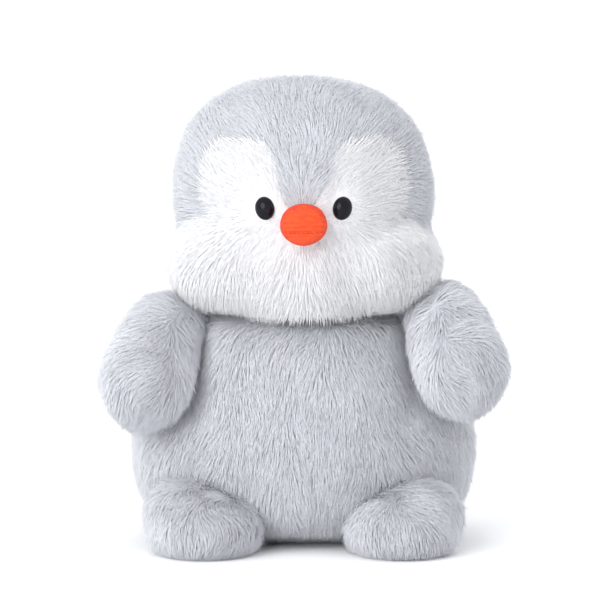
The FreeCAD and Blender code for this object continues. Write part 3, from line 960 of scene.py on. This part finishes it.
def make_beak():
    """Two cloth halves with rows of nap, pulled in at the mouth seam."""
    for node, upper in (("beak_upper", True), ("beak_lower", False)):
        bm = bmesh.new()
        bmesh.ops.create_uvsphere(bm, u_segments=128, v_segments=144, radius=1)
        mesh = from_bmesh(node, bm)
        points = coords(mesh)
        placed = points * BEAK_RADII + BEAK_MID
        rows = -(np.cos(placed[:, 2] * np.pi / ROW_PITCH + 0.35 * ripple(placed, 16 * MM, 61)) ** 6)
        fade = np.maximum(-points[:, 1], 0) * np.sqrt(np.maximum(1 - points[:, 2] ** 2, 0))
        seam = np.exp(-(((placed[:, 2] - MOUTH_Z) / MOUTH_HALF) ** 2))
        lumps = ripple(placed, 9 * MM, 60) * 0.12 * MM
        placed += unit(points) * ((rows * ROW_DEPTH - seam * MOUTH_DEPTH) * fade + lumps)[:, None]
        set_coords(mesh, placed)
        bm = bmesh.new()
        bm.from_mesh(mesh)
        geom = bm.verts[:] + bm.edges[:] + bm.faces[:]
        cut = bmesh.ops.bisect_plane(
            bm, geom=geom, plane_co=(0, 0, MOUTH_Z), plane_no=(0, 0, 1),
            clear_inner=upper, clear_outer=not upper
        )
        edges = [item for item in cut["geom_cut"] if isinstance(item, bmesh.types.BMEdge)]
        bmesh.ops.holes_fill(bm, edges=edges)
        bm.to_mesh(mesh)
        bm.free()
        smooth_faces(mesh)
        half = add_object(f"{node}_cloth", mesh)
        half.data.materials.append(orange)
        finished(half, "head", "orange_plush", node)


def make_stitches():
    """A row of short stitches along the middle of the mouth seam."""
    rng = np.random.default_rng(71)
    bm = bmesh.new()
    for step in range(-3, 4):
        x = (step * STITCH_PITCH + rng.uniform(-0.3, 0.3)) * MM
        z = MOUTH_Z + rng.uniform(-0.2, 0.2) * MM
        rest = 1 - (x / BEAK_RADII[0]) ** 2 - ((z - BEAK_MID[2]) / BEAK_RADII[2]) ** 2
        spot = Vector((BEAK_MID[0] + x, BEAK_MID[1] - BEAK_RADII[1] * math.sqrt(rest) + 0.4 * MM, z))
        turn = Matrix.Rotation(rng.uniform(-0.2, 0.2), 4, "Y")
        size = Matrix.Diagonal((rng.uniform(0.6, 0.9) * MM, 0.35 * MM, 0.24 * MM, 1))
        bmesh.ops.create_uvsphere(
            bm, u_segments=12, v_segments=8, radius=1, matrix=Matrix.Translation(spot) @ turn @ size
        )
    stitches = add_object("mouth_stitches", from_bmesh("mouth_stitches", bm))
    stitches.data.materials.append(thread_material("mouth_thread", (0.16, 0.015, 0.006), (0.3, 0.03, 0.01)))
    finished(stitches, "head", "thread")


# ---------------------------------------------------------------- inside

FILL_GAP, FILL_TUFTS = 0.4 * MM, 0.9 * MM  # from the cloth to the filling, and half the depth of its tufts
POUCH_THICK = 0.6 * MM
PELLET_RADII, PELLET_PITCH = (2, 1.7, 1.5), 4.4 * MM  # the radii in mm


def make_filling(form, node, body, inset, seed):
    """Tufts of polyester fibre that fill a skin, and stay inside the box of the filling that they replace."""
    mesh = form.data.copy()
    points, normals = coords(mesh), normals_of(mesh)
    tufts = ripple(points, 16 * MM, seed) + 0.5 * ripple(points, 7 * MM, seed + 1)
    points -= normals * (inset + (1 + tufts)[:, None] * FILL_TUFTS)
    low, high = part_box(node)
    set_coords(mesh, np.clip(points, low, high))
    smooth_faces(mesh)
    mesh.materials.clear()
    mesh.materials.append(filling)
    piece = add_object(f"{node}_fibre", mesh)
    finished(piece, body, "stuffing", node)


def make_beak_filling():
    low, high = union_box("beak_stuffing")
    shape = melded("beak_fill_form", [((low + high) / 2, (high - low) / 2 * 0.9)], 1 * MM)
    make_filling(shape, "beak_stuffing", "head", 0.2 * MM, 70)
    bpy.data.objects.remove(shape)


def make_pouch():
    """A bag of two round cloth pieces, puckered along the seam around its middle."""
    low, high = union_box("pellet_pouch")
    centre, radii = (low + high) / 2, (high - low) / 2
    bm = bmesh.new()
    bmesh.ops.create_uvsphere(bm, u_segments=96, v_segments=64, radius=1)
    mesh = from_bmesh("pellet_pouch", bm)
    points = coords(mesh)
    placed = points * (radii - POUCH_THICK)
    angle = np.arctan2(points[:, 1], points[:, 0])
    pucker = np.exp(-((points[:, 2] / 0.12) ** 2))
    placed *= 1 + 0.012 * (pucker * np.sin(angle * 36))[:, None]
    placed += unit(points) * (ripple(placed, 14 * MM, 80) * 0.5 * MM)[:, None]
    set_coords(mesh, placed + centre)
    smooth_faces(mesh)
    pouch = add_object("pellet_pouch_cloth", mesh)
    thick = pouch.modifiers.new("Solidify", "SOLIDIFY")
    thick.thickness = POUCH_THICK
    pouch.data.materials.append(cloth_material("pouch_cotton", (0.72, 0.7, 0.64), (0.85, 0.83, 0.78), 1400))
    finished(pouch, "body", "pouch_cloth", "pellet_pouch")


def make_pellets():
    """Rounded plastic pellets, packed in layers."""
    low, high = union_box("pellets")
    centre, radii = (low + high) / 2, (high - low) / 2 - 3 * MM
    rng = np.random.default_rng(90)
    counts = np.ceil(radii / PELLET_PITCH).astype(int) + 1
    bm = bmesh.new()
    for i in range(-counts[0], counts[0] + 1):
        for j in range(-counts[1], counts[1] + 1):
            for k in range(-counts[2], counts[2] + 1):
                spot = np.array((i + 0.5 * (k % 2), j + 0.5 * (k % 2), k * 0.8)) * PELLET_PITCH
                spot += rng.uniform(-0.25, 0.25, 3) * MM
                if ((spot / radii) ** 2).sum() > 1:
                    continue
                turn = Matrix.Rotation(rng.uniform(0, math.tau), 4, unit(rng.normal(size=3)))
                size = Matrix.Diagonal((*(Vector(PELLET_RADII) * MM), 1))
                place = Matrix.Translation(Vector(spot + centre)) @ turn @ size
                bmesh.ops.create_icosphere(bm, subdivisions=1, radius=1, matrix=place)
    mesh = from_bmesh("pellets", bm)
    smooth_faces(mesh)
    pellets = add_object("pellet_grains", mesh)
    pellets.data.materials.append(moulded_material("pellet_plastic", (0.75, 0.76, 0.75), (0.9, 0.9, 0.88)))
    finished(pellets, "body", "pellets", "pellets")


# ---------------------------------------------------------------- all together

make_camera()
make_studio()
forms = {"head": make_head(), "body": make_body(), "tail": make_tail()}
for side in SIDES:
    forms[f"wing_{side}"] = make_wing(side)
    forms[f"foot_{side}"] = make_foot(side)
for number, (name, form) in enumerate(forms.items()):
    make_filling(form, f"{name}_stuffing", name, SKIN_THICK + FILL_GAP, 100 + 2 * number)
    bpy.data.objects.remove(form)
make_beak()
make_stitches()
make_beak_filling()
make_pouch()
make_pellets()
black = eye_material()
washer = moulded_material("washer_plastic", (0.5, 0.5, 0.48), (0.62, 0.62, 0.6))
for side in SIDES:
    paint(f"eye_{side}", black)
    paint(f"eye_washer_{side}", washer)
paint("neck_seam", thread_material("neck_thread", (0.5, 0.53, 0.58), (0.66, 0.7, 0.76)))
